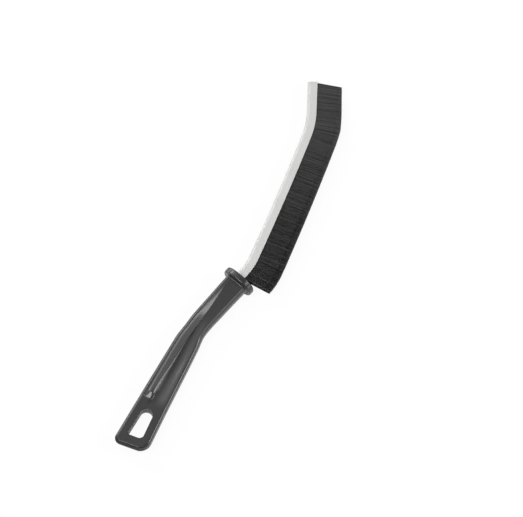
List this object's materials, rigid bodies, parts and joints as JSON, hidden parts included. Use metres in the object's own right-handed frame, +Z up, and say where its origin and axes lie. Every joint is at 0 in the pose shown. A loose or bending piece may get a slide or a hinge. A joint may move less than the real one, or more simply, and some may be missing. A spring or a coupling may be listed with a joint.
{
  "type": "crevice brush",
  "caption": "Slim hand brush for crevices: bent grip with thumb hollow, hanging slot and round collar, holding a long bent strip of stiff bristles set on edge.",
  "frame": {"origin": "middle of the brush's outline seen from above, level with the lowest point of the collar, on which the brush lies", "axes": "+X along the brush from the butt of the grip to the toe of the bristle strip, -Y the way the bristles point, +Z up out of the plane that the brush bends in"},
  "size_m": [0.2476, 0.041, 0.0175],
  "materials": {
    "handle_plastic": "satin moulded dark grey polypropylene",
    "strip_plastic": "milky white semi-gloss",
    "wire_steel": "drawn wire",
    "bristle_nylon": "black nylon filament with a slight sheen"
  },
  "bodies": {
    "root": {"handle": "handle_plastic", "spine": "strip_plastic", "core_wire": "wire_steel", "bristles_heel": "bristle_nylon", "bristles_lower": "bristle_nylon", "bristles_middle": "bristle_nylon", "bristles_upper": "bristle_nylon", "bristles_toe": "bristle_nylon"}
  },
  "joints": []
}
